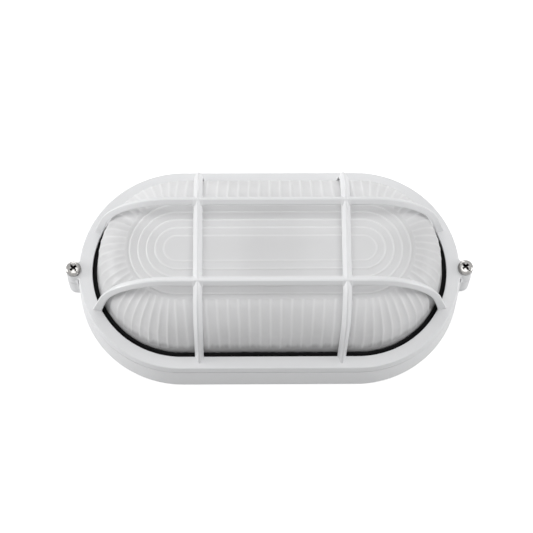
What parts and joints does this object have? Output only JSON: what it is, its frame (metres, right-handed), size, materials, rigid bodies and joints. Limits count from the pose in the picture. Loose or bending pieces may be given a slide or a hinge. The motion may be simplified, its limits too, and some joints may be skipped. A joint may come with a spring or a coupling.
{
  "type": "outdoor wall light",
  "caption": "Oval cast bulkhead wall light: a housing on the wall and a caged guard hold a ribbed frosted glass over a lamp in a screw holder.",
  "frame": {"origin": "centre of the housing's back face, on the wall plane", "axes": "+Z points out of the wall through the front of the guard, +X runs along the long axis of the oval, +Y is across it; the side with the cable entry is +Y"},
  "size_m": [0.254, 0.132, 0.0845],
  "materials": {
    "white_paint": "satin",
    "frosted_glass": "matte",
    "black_rubber": "matte",
    "screw_steel": "satin",
    "sheet_steel": "satin",
    "holder_white": "gloss",
    "contact_brass": "satin",
    "block_plastic": "matte",
    "earth_green": "satin",
    "wire_brown": "matte",
    "wire_blue": "matte",
    "wire_green": "matte",
    "bulb_opal": "satin"
  },
  "bodies": {
    "base": {"base_housing": "white_paint", "cable_grommet": "black_rubber", "lampholder_bracket": "sheet_steel", "bracket_screws": "screw_steel", "lampholder_body": "holder_white", "lampholder_screws": "screw_steel", "lampholder_shell": "contact_brass", "centre_contact": "contact_brass", "live_terminal": "contact_brass", "neutral_terminal": "contact_brass", "terminal_screws": "screw_steel", "terminal_block": "block_plastic", "block_tubes": "contact_brass", "block_screws": "screw_steel", "block_fixing_screw": "screw_steel", "earth_screw": "earth_green", "earth_washer": "screw_steel", "live_wire": "wire_brown", "neutral_wire": "wire_blue", "earth_wire": "wire_green", "bulb": "bulb_opal"},
    "cover": {"guard_frame": "white_paint", "glass_diffuser": "frosted_glass", "glass_gasket": "black_rubber"},
    "screw_left": {"cover_screw_left": "screw_steel"},
    "screw_right": {"cover_screw_right": "screw_steel"}
  },
  "joints": [
    {"name": "cover_lift", "type": "slide", "parent": "base", "child": "cover", "axis": [0, 0, 1], "range_m": [0, 0.08]},
    {"name": "screw_left_turn", "type": "hinge", "parent": "cover", "child": "screw_left", "pos_m": [-0.1218, 0, 0.0302], "axis": [0, 0, 1], "continuous": true},
    {"name": "screw_right_turn", "type": "hinge", "parent": "cover", "child": "screw_right", "pos_m": [0.1218, 0, 0.0302], "axis": [0, 0, 1], "continuous": true}
  ]
}
